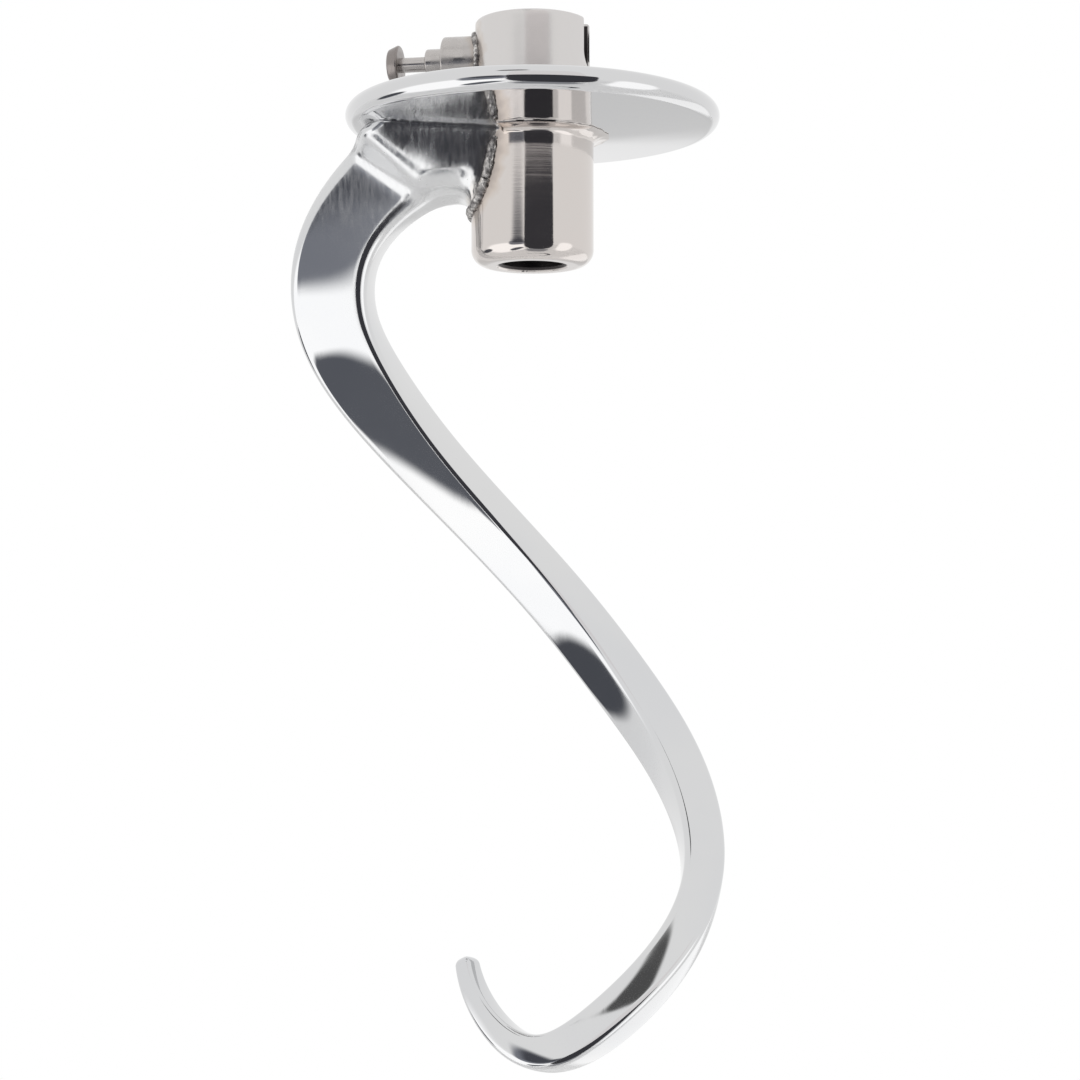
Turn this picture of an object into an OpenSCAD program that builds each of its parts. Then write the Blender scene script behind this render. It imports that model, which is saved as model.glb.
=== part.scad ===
// Spiral dough hook with guard disc, slotted drive socket and spring plunger.
// Millimetres. The drive bore is the Z axis; z = 0 is the shoulder where the hub meets
// the guard disc's underside. The plunger points along -X, the cross-pin slot along +X.

/* [Drive socket] */
// Diameter of the drive bore, for a 12.7 mm shaft
bore_d = 12.8; // [12.7:0.05:13]
// Diameter of the relief above the seat, where the plunger's nose comes in
relief_d = 13.4; // [13.2:0.1:14]
// Height at which the seat ends and the relief starts
seat_top = 12.8; // [11:0.1:13]
// Diameter of the hub below the guard disc
hub_d = 24.5; // [24:0.1:26]
// Diameter of the collar above the guard disc
collar_d = 23; // [22:0.1:23.4]
// Depth of the hub below the shoulder
hub_depth = 26; // [24:0.5:30]
// Height of the collar above the shoulder
collar_top = 23.4; // [22.5:0.1:26]
// Radius of the hub's polished bottom edge
hub_edge = 3.2; // [1.5:0.1:4]
// Width of the cross-pin slot in the collar
slot_w = 6.4; // [5:0.1:7]
// Height of the round bottom of the slot
slot_floor = 13.4; // [13:0.1:15]

/* [Guard disc] */
// Outer diameter of the guard disc
disc_d = 75; // [74:0.5:80]
// Thickness of the disc's full-round rim
rim_t = 4.8; // [4:0.1:5.2]
// Height by which the underside rises from the shoulder to the rim
dish = 1.5; // [0.5:0.1:2]

/* [Spiral arm] */
// Radius of the arm's four long edges
arm_edge = 1.1; // [0.6:0.1:1.4]
// Rings along the arm
arm_rings = 92; // [60:4:110]
// Extra radius of the arm's edges at the shoulder, where they are ground rounder
shoulder_edge = 3.4; // [0:0.2:3.8]
// How far the shoulder spreads along the guard disc
disc_spread = 0.5; // [0.2:0.1:3]
// How far the shoulder spreads along the hub
hub_spread = 5; // [2:0.1:5]

/* [Plunger] */
// Height of the plunger's axis
pin_z = 15.9; // [15.7:0.1:16.2]
// Diameter of the plunger's nose
nose_d = 5; // [4.6:0.1:5]
// Diameter of the plunger's rod
rod_d = 3; // [2.6:0.1:3]
// Diameter of the welded boss
boss_d = 10.4; // [9.8:0.1:10.6]
// Diameter of the bush that closes the boss
bush_d = 5.9; // [5.7:0.1:6.2]
// Diameter of the pull head at its inner face
head_d = 8; // [7:0.1:8.4]
// Reach of the nose past the relief wall into the bore
nose_reach = 2.5; // [1.5:0.1:2.8]

/* [Hidden] */
$fn = 96;

steel = [0.80, 0.80, 0.81];
turned = [0.72, 0.71, 0.70];
weld_tone = [0.55, 0.54, 0.53];

bore_r = bore_d/2;
relief_r = relief_d/2;
hub_r = hub_d/2;
collar_r = collar_d/2;
mouth_chamfer = 0.8;        // chamfer at both mouths of the bore
collar_chamfer = 0.7;       // chamfer on the collar's top edge
slip = 0.05;                // radial gap of a slip or running fit
touch = 0.03;               // gap between welded faces

rim_r = rim_t/2;
disc_r = disc_d/2;
disc_top = dish + rim_t;

boss_r = boss_d/2;
boss_cavity_d = 6.8;        // cavity of the boss, and the spot face under it
washer_d = 6.4;
washer_t = 0.6;
spot_x = 10.9;              // distance of the spot face from the bore axis
seat_gap = 0.1;             // rest gap between the washer and the spot face
washer_x = spot_x + seat_gap;
boss_end = 18;
bush_in = 16;               // the bush's inner end
bush_end = 21.7;
bush_wall = 1;              // end wall of the bush, with the rod's guide bore
spring_cup_d = 5;           // cup in the bush that holds the spring
head_x = 27.2;              // inner face of the pull head
head_t = 2.4;
head_taper = 0.6;           // how much the head's radius shrinks towards its outer face
head_edge = 0.35;           // the head's small chamfers
nose_tip = relief_r - nose_reach;
wire_d = 0.5;
spring_d = 4.7;             // outer diameter of the spring
spring_turns = 7;
spring_x0 = washer_x + washer_t + wire_d/2 + touch;
spring_x1 = bush_end - bush_wall - wire_d/2 - touch;

// Control rows of the arm: place x, y, z, width of the lower face, width of the inner
// face, and how far the section is turned. A cubic B-spline runs through their weights.
ARM = [
  [  5.0,   0.0,   -4.0, 16.5, 13.0,   6],
  [ -4.5,   0.0,   -4.0, 16.5, 13.0,   6],
  [-13.0,   0.0,   -3.0, 17.5, 13.0,   6],
  [-22.0,   0.0,   -3.0, 18.5, 12.8,   6],
  [-29.5,  -0.5,   -7.5, 18.0, 12.3,   5],
  [-36.5,   0.0,  -14.0, 16.5, 11.5,   3],
  [-42.0,   1.0,  -23.5, 16.0, 10.8,   6],
  [-42.5,   4.0,  -36.5, 15.5, 10.3,  14],
  [-36.0,   9.5,  -49.0, 14.5,  9.8,  25],
  [-26.0,  16.5,  -62.5, 12.0,  9.4,  33],
  [-13.5,  23.0,  -76.5, 10.8,  9.2,  38],
  [  1.0,  26.5,  -92.5, 10.7,  9.2,  42],
  [ 14.5,  24.0, -109.5, 10.7,  9.4,  48],
  [ 27.5,  16.5, -126.0, 10.2,  8.8,  62],
  [ 35.0,   6.0, -144.5,  9.1,  7.8,  87],
  [ 31.0,  -6.0, -160.0,  8.6,  7.8, 110],
  [ 18.5, -16.0, -173.5,  8.3,  7.9, 126],
  [  6.5, -20.0, -181.0,  7.4,  7.0, 110],
  [ -3.5, -18.0, -176.0,  5.7,  4.8,  76],
  [-11.5, -13.5, -164.0,  4.2,  3.4,  53],
  [-11.0,  -7.5, -149.5,  3.0,  2.6,  38]];
arm_start = 0;              // the arm starts inside the hub
shoulder_round = 4.2;       // spans over which the rounder edges fade out
arm_end = len(ARM) - 3;
face_turn = 11;             // the section's zero direction, in degrees from -Y towards +X
corner_steps = 6;           // points on each rounded edge of the section
face_steps = 7;             // and on its front and back
tip_rings = 4;              // rings of the round tip
spread_end = -20;           // below this height the arm is plain
spread_half = 6.5;          // half the bar's depth, where the spread is full
disc_fade = 0.8;            // the spread along the disc fades over this distance below it
hub_side = -5;              // the spread at the hub grows beyond this x by hub_turn per mm
hub_turn = 0.18;
hub_tilt = 0.35;            // and shrinks by this per mm below the disc
step_x = -25;               // it ends in a soft step across a line through this point
step_z = -8.5;
step_turn = -38.7;
step_soft = 1;
arch_drop = 3.5;            // how far the arch under the shoulder runs down the hub
arch_fade = 1.3;            // and over which distance from the hub
arch_full = 10;             // depth below the disc where it drops fully

// Height of the disc's underside at distance r from the axis
function underside(r) = dish*(r - hub_r)/(disc_r - rim_r - hub_r);

// Cubic B-spline through rows, and its direction, at parameter t
function basis(q) = [pow(1 - q, 3), 3*pow(q, 3) - 6*q*q + 4,
  -3*pow(q, 3) + 3*q*q + 3*q + 1, pow(q, 3)]/6;
function slope(q) = [-pow(1 - q, 2), 3*q*q - 4*q, -3*q*q + 2*q + 1, q*q]/2;
function span_of(rows, t) = min(floor(t), len(rows) - 4);
function mix4(rows, i, w) = w[0]*rows[i] + w[1]*rows[i + 1] + w[2]*rows[i + 2] + w[3]*rows[i + 3];
function along(rows, t) = let (i = span_of(rows, t)) mix4(rows, i, basis(t - i));
function heading(rows, t) = let (i = span_of(rows, t), d = mix4(rows, i, slope(t - i)))
  unit([d[0], d[1], d[2]]);
function unit(v) = v/norm(v);

// The arm's section: a rectangle w wide and h high with round edges, as [across, up] points.
// Its front and back have face_steps more points each.
function rounded(w, h, r) = [for (c = [0:3], j = [0:corner_steps + (c%2 == 0 ? face_steps : 0) - 1])
  let (a = 90*c + 90*min(1, j/(corner_steps - 1)), sx = (c == 0 || c == 3) ? 1 : -1,
    sy = c < 2 ? 1 : -1, face = max(0, j - corner_steps + 1)/(face_steps + 1))
  [sx*(w/2 - r)*(1 - 2*face) + r*cos(a), sy*(h/2 - r) + r*sin(a)]];

// 1 on the thick part of the shoulder and 0 on the arm, with a soft step across a line
function step(x, z) =
  1/(1 + exp(((x - step_x)*sin(step_turn) - (z - step_z)*cos(step_turn))/step_soft));

// The shoulder spreads where it meets the disc and the hub, and its arch runs down the hub
function spread(p) = let (
    r = norm([p[0], p[1]]), below = max(0, underside(r) - p[2]), off = max(0, r - hub_r),
    wedge = hub_spread + hub_turn*max(0, hub_side - p[0]) - hub_tilt*below,
    wider = disc_spread*exp(-below/disc_fade) + max(0, wedge)*step(p[0], p[2]),
    lower = arch_drop*exp(-off/arch_fade)*pow(min(1, below/arch_full), 3))
  p[2] > spread_end ? [p[0], p[1]*(1 + wider/spread_half), p[2] - lower] : p;

// One ring of the arm at parameter t, moved forward and shrunk for the round tip
function arm_ring(t, forward, shrink) = let (
    row = along(ARM, t), dir = heading(ARM, t),
    zero = [sin(face_turn), -cos(face_turn), 0],
    n0 = unit(zero - (zero*dir)*dir), b0 = cross(dir, n0),
    n1 = n0*cos(row[5]) + b0*sin(row[5]), n2 = b0*cos(row[5]) - n0*sin(row[5]),
    w = row[3]*shrink, h = row[4]*shrink,
    edge = (arm_edge + shoulder_edge*exp(-pow(t/shoulder_round, 2)))*shrink*min(1, row[4]/6),
    centre = [row[0], row[1], row[2]] + forward*row[4]/2*dir)
  [for (q = rounded(w, h, edge)) spread(centre + q[0]*n2 + q[1]*n1)];

// Skin over equal rings, closed by a flat cap at each end
module skin(rings) {
  n = len(rings[0]);
  m = len(rings);
  points = [for (ring = rings) each ring];
  sides = [for (k = [0:m - 2], j = [0:n - 1]) let (a = k*n + j, b = k*n + (j + 1)%n)
    each [[a, a + n, b], [b, a + n, b + n]]];
  first = [for (j = [0:n - 1]) j];
  last = [for (j = [n - 1:-1:0]) (m - 1)*n + j];
  polyhedron(points, concat(sides, [first], [last]), convexity = 8);
}

// Ring of a round tube of radius r about point c, across direction d
function tube_ring(c, d, r, sides) = let (
    a = unit(cross(d, abs(d[2]) < 0.9 ? [0, 0, 1] : [1, 0, 0])), b = cross(d, a))
  [for (j = [0:sides - 1]) c + r*(a*cos(360*j/sides) + b*sin(360*j/sides))];

// Cylinder along -X from distance x0 to x1, on the plunger's axis
module rod(d, x0, x1) {
  translate([-x0, 0, pin_z]) rotate([0, -90, 0]) cylinder(d = d, h = x1 - x0);
}

module arm_blank() {
  skin(concat(
    [for (k = [0:arm_rings]) arm_ring(arm_start + (arm_end - arm_start)*k/arm_rings, 0, 1)],
    [for (k = [1:tip_rings]) let (a = 82*k/tip_rings) arm_ring(arm_end, sin(a), cos(a))]));
}

module hook_arm() {
  color(steel) difference() {
    arm_blank();
    // faces ground to fit the hub and the disc's underside
    translate([0, 0, -hub_depth]) cylinder(r = hub_r + touch, h = hub_depth + 1);
    rotate_extrude() polygon([[0, -touch], [hub_r, -touch],
      [disc_r + 10, underside(disc_r + 10) - touch], [disc_r + 10, 12], [0, 12]]);
  }
}

module guard_disc() {
  color(steel) rotate_extrude() difference() {
    union() {
      polygon([[0, 0], [hub_r, 0], [disc_r - rim_r, dish], [disc_r - rim_r, disc_top], [0, disc_top]]);
      translate([disc_r - rim_r, dish + rim_r]) circle(r = rim_r);
    }
    translate([-1, -1]) square([collar_r + touch + 1, disc_top + 2]);
  }
}

module hub_sleeve() {
  color(turned) difference() {
    rotate_extrude() difference() {
      union() {
        translate([0, -hub_depth + hub_edge]) square([hub_r, hub_depth - hub_edge - touch]);
        translate([0, -hub_depth]) square([hub_r - hub_edge, hub_edge + 1]);
        translate([hub_r - hub_edge, -hub_depth + hub_edge]) circle(r = hub_edge);
        polygon([[0, -1], [collar_r, -1], [collar_r, collar_top - collar_chamfer],
          [collar_r - collar_chamfer, collar_top], [0, collar_top]]);
      }
      // bore, its mouths and the relief, and nothing on the far side of the axis
      translate([-hub_r - 1, -hub_depth - 1]) square([hub_r + 1 + bore_r, hub_depth + 1 + seat_top]);
      translate([-hub_r - 1, seat_top - 0.01]) square([hub_r + 1 + relief_r, collar_top]);
      polygon([[0, -hub_depth - 1], [bore_r + mouth_chamfer + 1, -hub_depth - 1],
        [bore_r, -hub_depth + mouth_chamfer], [0, -hub_depth + mouth_chamfer]]);
      polygon([[0, collar_top + 1], [relief_r + mouth_chamfer + 1, collar_top + 1],
        [relief_r, collar_top - mouth_chamfer], [0, collar_top - mouth_chamfer]]);
    }
    // cross-pin slot: open at the top, round at the bottom
    translate([0, 0, slot_floor + slot_w/2]) rotate([0, 90, 0])
      cylinder(d = slot_w, h = hub_r + 2);
    translate([0, -slot_w/2, slot_floor + slot_w/2]) cube([hub_r + 2, slot_w, collar_top]);
    // hole for the plunger's nose, and its spot face
    rod(nose_d + 2*slip, 1, spot_x + 1);
    rod(boss_cavity_d, spot_x, hub_r + 1);
  }
}

// Concave fillet between a cylinder of radius r and a face, leg wide and rise high
module fillet(r, leg, rise) {
  steps = 8;
  polygon(concat([[r, 0]], [for (k = [0:steps]) let (a = 90*k/steps)
    [r + leg*(1 - sin(a)), rise*(1 - cos(a))]]));
}

module hub_weld() {
  // open where the shoulder of the arm joins the hub
  color(turned) rotate([0, 0, -106]) rotate_extrude(angle = 212)
    mirror([0, 1]) translate([0, touch]) fillet(hub_r + touch, 3, 1.5);
}

module collar_weld() {
  color(weld_tone) rotate_extrude() translate([0, disc_top + touch]) fillet(collar_r + touch, 1.8, 1.5);
}

module arm_weld() {
  // bead along the foot of the shoulder on the hub: lowest under the arch, up both sides
  half_turn = 71;
  lowest = 17;
  steps = 64;
  ring_sides = 8;
  function height(a) = -lowest*(1 - pow(a/half_turn, 2)) - 0.6;
  function place(a) = [-hub_r*cos(a), hub_r*sin(a), height(a)];
  color(weld_tone) skin([for (k = [0:steps]) let (a = half_turn*(0.97 - 1.94*k/steps))
    tube_ring(place(a), unit(place(a - 1) - place(a + 1)), 0.75 + 0.15*sin(k*97), ring_sides)]);
}

module plunger_body() {
  color(turned) difference() {
    rod(boss_d, collar_r - 2, boss_end);
    cylinder(r = collar_r + touch, h = collar_top + 10);
    rod(boss_cavity_d, collar_r - 3, boss_end + 1);
  }
}

module plunger_weld() {
  // bead round the boss where it meets the collar
  steps = 48;
  ring_sides = 8;
  bead_r = boss_r + 0.1;
  function place(a) = let (y = bead_r*sin(a))
    [-sqrt(pow(collar_r, 2) - y*y) - 0.1, y, pin_z + bead_r*cos(a)];
  rings = [for (k = [0:steps]) let (a = 5 + 350*k/steps)
    tube_ring(place(a), unit(place(a + 1) - place(a - 1)), 0.6 + 0.12*sin(k*131), ring_sides)];
  color(weld_tone) skin(rings);
}

module plunger_bushing() {
  color(turned) difference() {
    union() {
      rod(boss_cavity_d, bush_in, boss_end);
      rod(bush_d, bush_in, bush_end);
    }
    rod(spring_cup_d, bush_in - 1, bush_end - bush_wall);
    rod(rod_d + 2*slip, bush_in, bush_end + 1);
  }
}

module plunger_pin() {
  nose_chamfer = 0.8;
  color(turned) union() {
    rod(nose_d, nose_tip + nose_chamfer, washer_x);
    translate([-nose_tip, 0, pin_z]) rotate([0, -90, 0])
      cylinder(d1 = nose_d - 2*nose_chamfer, d2 = nose_d, h = nose_chamfer);
    rod(rod_d, washer_x, head_x);
  }
}

module spring_washer() {
  color(turned) difference() {
    rod(washer_d, washer_x, washer_x + washer_t);
    rod(rod_d + touch, washer_x - 1, washer_x + washer_t + 1);
  }
}

module plunger_spring() {
  per_turn = 16;
  ring_sides = 6;
  coil_r = (spring_d - wire_d)/2;
  pitch = (spring_x1 - spring_x0)/spring_turns;
  function place(k) = let (a = 360*k/per_turn)
    [-spring_x0 - pitch*k/per_turn, coil_r*sin(a), pin_z + coil_r*cos(a)];
  color(turned) skin([for (k = [0:spring_turns*per_turn])
    tube_ring(place(k), unit(place(k + 0.5) - place(k - 0.5)), wire_d/2, ring_sides)]);
}

module pull_head() {
  // tapered knob with a dimple where the rod's end is riveted over
  inner_r = head_d/2;
  outer_r = inner_r - head_taper;
  color(turned) difference() {
    translate([0, 0, pin_z]) rotate([0, -90, 0]) rotate_extrude() polygon([
      [0, head_x], [inner_r - head_edge, head_x], [inner_r, head_x + head_edge],
      [outer_r, head_x + head_t - head_edge], [outer_r - head_edge, head_x + head_t],
      [0, head_x + head_t]]);
    rod(2, head_x + head_t - 0.4, head_x + head_t + 1);
  }
}

hook_arm();
guard_disc();
hub_sleeve();
hub_weld();
collar_weld();
arm_weld();
plunger_body();
plunger_weld();
plunger_bushing();
plunger_pin();
spring_washer();
plunger_spring();
pull_head();
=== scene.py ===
"""Looks of a polished spiral dough hook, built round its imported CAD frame.

Every surface is worked out with numpy in the frame's own metres: turned pieces are profiles
carried round an axis, the spiral arm is a rounded section carried along a B-spline, and
weld beads are tubes along the line where two pieces meet.
"""

import math

import bmesh
import bpy
import numpy as np
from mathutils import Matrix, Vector


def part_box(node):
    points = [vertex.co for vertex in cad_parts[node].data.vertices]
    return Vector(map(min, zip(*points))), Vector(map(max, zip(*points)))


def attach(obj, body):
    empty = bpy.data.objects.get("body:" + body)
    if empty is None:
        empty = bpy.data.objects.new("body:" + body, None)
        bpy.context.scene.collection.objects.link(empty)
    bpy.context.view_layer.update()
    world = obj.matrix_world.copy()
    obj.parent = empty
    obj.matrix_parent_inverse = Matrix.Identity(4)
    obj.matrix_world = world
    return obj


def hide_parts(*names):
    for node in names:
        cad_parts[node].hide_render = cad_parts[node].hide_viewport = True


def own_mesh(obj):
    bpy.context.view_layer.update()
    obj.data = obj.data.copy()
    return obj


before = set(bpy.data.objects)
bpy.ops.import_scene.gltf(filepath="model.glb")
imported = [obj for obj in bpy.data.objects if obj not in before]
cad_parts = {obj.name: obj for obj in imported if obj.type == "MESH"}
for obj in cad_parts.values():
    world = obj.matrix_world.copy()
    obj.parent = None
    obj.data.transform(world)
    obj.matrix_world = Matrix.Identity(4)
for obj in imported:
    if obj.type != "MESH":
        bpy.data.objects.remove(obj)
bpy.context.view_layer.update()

MM = 0.001

# ---------------------------------------------------------------- sizes read from the frame

hub_low, hub_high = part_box("hub_sleeve")
_, disc_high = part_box("guard_disc")
boss_low, boss_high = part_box("plunger_body")
bush_low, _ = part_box("plunger_bushing")
pin_low, pin_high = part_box("plunger_pin")
head_low, head_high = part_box("pull_head")

HUB_R = hub_high.y / MM
HUB_BOTTOM = hub_low.z / MM
COLLAR_TOP = hub_high.z / MM
DISC_R = disc_high.x / MM
DISC_TOP = disc_high.z / MM
PIN_Z = (pin_low.z + pin_high.z) / 2 / MM
BOSS_R = (boss_high.z - boss_low.z) / 2 / MM
BOSS_END = -boss_low.x / MM
BUSH_END = -bush_low.x / MM
NOSE_TIP = -pin_high.x / MM
HEAD_IN = -head_high.x / MM
HEAD_OUT = -head_low.x / MM
HEAD_R = (head_high.z - head_low.z) / 2 / MM

COLLAR_R = 11.5
BORE_R = 6.4
RELIEF_R = 6.7
SEAT_TOP = 12.8
HUB_EDGE = 3.2
SLOT_HALF = 3.2
SLOT_FLOOR = 13.4
RIM_R = 2.4
DISH = DISC_TOP - 2 * RIM_R

MERGE = 0.002

# ---------------------------------------------------------------- mesh helpers


def smooth(edge0, edge1, x):
    """Smooth step from 0 at edge0 to 1 at edge1."""
    t = np.clip((x - edge0) / (edge1 - edge0), 0, 1)
    return t * t * (3 - 2 * t)


def make_piece(name, points_mm, faces, body, node, sharp_deg=32):
    """A closed mesh object from points in millimetres, its doubles merged and faces outwards.
    Every point keeps its distance to the nearest weld, in millimetres, as weld_gap."""
    mesh = bpy.data.meshes.new(name)
    mesh.from_pydata((np.asarray(points_mm) * MM).tolist(), [], faces)
    bm = bmesh.new()
    bm.from_mesh(mesh)
    bmesh.ops.remove_doubles(bm, verts=bm.verts, dist=MERGE * MM)
    bmesh.ops.recalc_face_normals(bm, faces=bm.faces)
    bm.to_mesh(mesh)
    bm.free()
    mesh.shade_smooth()
    mesh.set_sharp_from_angle(angle=math.radians(sharp_deg))
    place = np.empty(len(mesh.vertices) * 3)
    mesh.vertices.foreach_get("co", place)
    gap = weld_distance(place.reshape(-1, 3) / MM)
    mesh.attributes.new("weld_gap", "FLOAT", "POINT").data.foreach_set("value", gap)
    piece = bpy.data.objects.new(name, mesh)
    bpy.context.scene.collection.objects.link(piece)
    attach(piece, body)
    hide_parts(node)
    return piece


def grid_faces(rows, cols, wrap_rows=False, wrap_cols=True, first=0):
    """Quads between neighbouring points of a rows x cols grid, numbered row by row."""
    r = np.arange(rows if wrap_rows else rows - 1)
    c = np.arange(cols if wrap_cols else cols - 1)
    r, c = np.meshgrid(r, c, indexing="ij")
    r2, c2 = (r + 1) % rows, (c + 1) % cols
    quads = np.stack([r * cols + c, r * cols + c2, r2 * cols + c2, r2 * cols + c], -1)
    return (quads.reshape(-1, 4) + first).tolist()


def arc(cx, cy, r, a0, a1, n):
    """Points of a circular arc from angle a0 to a1, in degrees."""
    a = np.radians(np.linspace(a0, a1, n))
    return np.stack([cx + r * np.cos(a), cy + r * np.sin(a)], -1)


def line(p, q, n):
    """n points from p towards q, without q itself."""
    t = np.linspace(0, 1, n, endpoint=False)[:, None]
    return np.asarray(p) * (1 - t) + np.asarray(q) * t


def fan(pole, ring):
    """Triangles between a pole and a closed ring of points."""
    ring = list(ring)
    return [[pole, ring[k], ring[(k + 1) % len(ring)]] for k in range(len(ring))]


def turned(profile, segments=256, axis="z"):
    """Carries a closed (radius, height) profile round the Z axis, or round the plunger's axis,
    where height is the distance along -X. Points on the axis itself become one pole."""
    profile = np.asarray(profile, float)
    a = np.linspace(0, 2 * math.pi, segments, endpoint=False)
    r, h = profile[:, :1], profile[:, 1:2]
    if axis == "z":
        grid = np.stack([r * np.cos(a), r * np.sin(a), h + 0 * a], -1)
    else:
        grid = np.stack([-h + 0 * a, r * np.cos(a), PIN_Z + r * np.sin(a)], -1)
    return grid


def closed_lathe(profile, segments=256, axis="z"):
    """Points and faces of a turned ring whose profile closes on itself, faces outwards."""
    grid = turned(profile, segments, axis)
    rows, cols = grid.shape[:2]
    faces = grid_faces(rows, cols, wrap_rows=True)
    return grid.reshape(-1, 3), faces


def capped_lathe(profile, segments=128, axis="z"):
    """Points and faces of a turned solid whose profile starts and ends on the axis."""
    grid = turned(profile[1:-1], segments, axis)
    rows, cols = grid.shape[:2]
    ends = turned(np.asarray([profile[0], profile[-1]]), 1, axis)[:, 0]
    faces = grid_faces(rows, cols) + fan(rows * cols, range(cols))
    faces += fan(rows * cols + 1, range((rows - 1) * cols, rows * cols))
    return np.vstack([grid.reshape(-1, 3), ends]), faces


def tube(path, radius, sides=16, closed=False):
    """Points and faces of a tube: rings of the given radii round a path, with round ends."""
    path = np.asarray(path, float)
    along = unit(np.roll(path, -1, 0) - np.roll(path, 1, 0)) if closed else unit(np.gradient(path, axis=0))
    up = np.where(np.abs(along[:, 2:]) < 0.9, [[0, 0, 1.0]], [[1.0, 0, 0]])
    side = unit(np.cross(along, up))
    other = np.cross(along, side)
    a = np.linspace(0, 2 * math.pi, sides, endpoint=False)
    ring = np.cos(a)[None, :, None] * side[:, None] + np.sin(a)[None, :, None] * other[:, None]
    points = path[:, None] + np.asarray(radius).reshape(len(path), -1, 1) * ring
    rows = len(path)
    faces = grid_faces(rows, sides, wrap_rows=closed)
    points = points.reshape(-1, 3)
    if closed:
        return points, faces
    faces += fan(rows * sides, range(sides))
    faces += fan(rows * sides + 1, range((rows - 1) * sides, rows * sides))
    return np.vstack([points, path[:1], path[-1:]]), faces


# ---------------------------------------------------------------- spiral arm

# Control rows: place x, y, z, width of the lower face, width of the inner face, turn.
ARM = np.array([
    [5.0, 0.0, -4.0, 16.5, 13.0, 6],
    [-4.5, 0.0, -4.0, 16.5, 13.0, 6],
    [-13.0, 0.0, -3.0, 17.5, 13.0, 6],
    [-22.0, 0.0, -3.0, 18.5, 12.8, 6],
    [-29.5, -0.5, -7.5, 18.0, 12.3, 5],
    [-36.5, 0.0, -14.0, 16.5, 11.5, 3],
    [-42.0, 1.0, -23.5, 16.0, 10.8, 6],
    [-42.5, 4.0, -36.5, 15.5, 10.3, 14],
    [-36.0, 9.5, -49.0, 14.5, 9.8, 25],
    [-26.0, 16.5, -62.5, 12.0, 9.4, 33],
    [-13.5, 23.0, -76.5, 10.8, 9.2, 38],
    [1.0, 26.5, -92.5, 10.7, 9.2, 42],
    [14.5, 24.0, -109.5, 10.7, 9.4, 48],
    [27.5, 16.5, -126.0, 10.2, 8.8, 62],
    [35.0, 6.0, -144.5, 9.1, 7.8, 87],
    [31.0, -6.0, -160.0, 8.6, 7.8, 110],
    [18.5, -16.0, -173.5, 8.3, 7.9, 126],
    [6.5, -20.0, -181.0, 7.4, 7.0, 110],
    [-3.5, -18.0, -176.0, 5.7, 4.8, 76],
    [-11.5, -13.5, -164.0, 4.2, 3.4, 53],
    [-11.0, -7.5, -149.5, 3.0, 2.6, 38]])
ARM_END = len(ARM) - 3
ARM_EDGE = 1.1
SHOULDER_EDGE = 3.4
SHOULDER_ROUND = 4.2
CROWN = 0.22
DISC_SPREAD = 0.5
HUB_SPREAD = 5.0
SPREAD_END = -20.0
SPREAD_HALF = 6.5
DISC_FADE = 0.8
HUB_SIDE, HUB_TURN, HUB_TILT = -5.0, 0.18, 0.35
ARCH_DROP = 3.5
ARCH_FADE = 1.3
ARCH_FULL = 10.0
STEP_X, STEP_Z, STEP_TURN, STEP_SOFT = -25.0, -8.5, -38.7, 1.0
WORKED_FROM, WORKED_FULL = -26.0, -12.0
FACE_TURN = math.radians(11)


def spline(rows, t):
    """Cubic B-spline through the rows' weights at parameters t, and its first derivative."""
    i = np.minimum(t.astype(int), len(rows) - 4)
    q = t - i
    weight = np.stack([(1 - q)**3, 3 * q**3 - 6 * q * q + 4,
                       -3 * q**3 + 3 * q * q + 3 * q + 1, q**3], -1) / 6
    change = np.stack([-(1 - q)**2, 3 * q * q - 4 * q, -3 * q * q + 2 * q + 1, q * q], -1) / 2
    near = np.stack([rows[i + k] for k in range(4)], 1)
    return np.einsum("nk,nkd->nd", weight, near), np.einsum("nk,nkd->nd", change, near)


def unit(v):
    """Vectors scaled to length 1 along the last axis."""
    return v / np.linalg.norm(v, axis=-1, keepdims=True)


def underside(r):
    """Height of the disc's underside at distance r from the axis."""
    return DISH * (r - HUB_R) / (DISC_R - RIM_R - HUB_R)


def section(corner_steps, face_steps):
    """A unit section: for each point, the sign of its corner, its place on the edge's arc and
    its place along a flat face, from 0 to 1. Corners are quarter circles joined by faces."""
    rows = []
    signs = [(1, 1), (-1, 1), (-1, -1), (1, -1)]
    for c, (sx, sy) in enumerate(signs):
        nx, ny = signs[(c + 1) % 4]
        for a in np.linspace(90 * c, 90 * c + 90, corner_steps):
            rows.append((sx, sy, math.cos(math.radians(a)), math.sin(math.radians(a)), sx, sy, 0, c))
        a = math.radians(90 * c + 90)
        for f in np.linspace(0, 1, face_steps + 2)[1:-1]:
            rows.append((sx, sy, math.cos(a), math.sin(a), nx, ny, f, c))
    return np.array(rows)


def step(x, z):
    """1 on the thick part of the shoulder and 0 on the arm, with a soft step across a line."""
    c, k = math.cos(math.radians(STEP_TURN)), math.sin(math.radians(STEP_TURN))
    return 1 / (1 + np.exp(((x - STEP_X) * k - (z - STEP_Z) * c) / STEP_SOFT))


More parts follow.
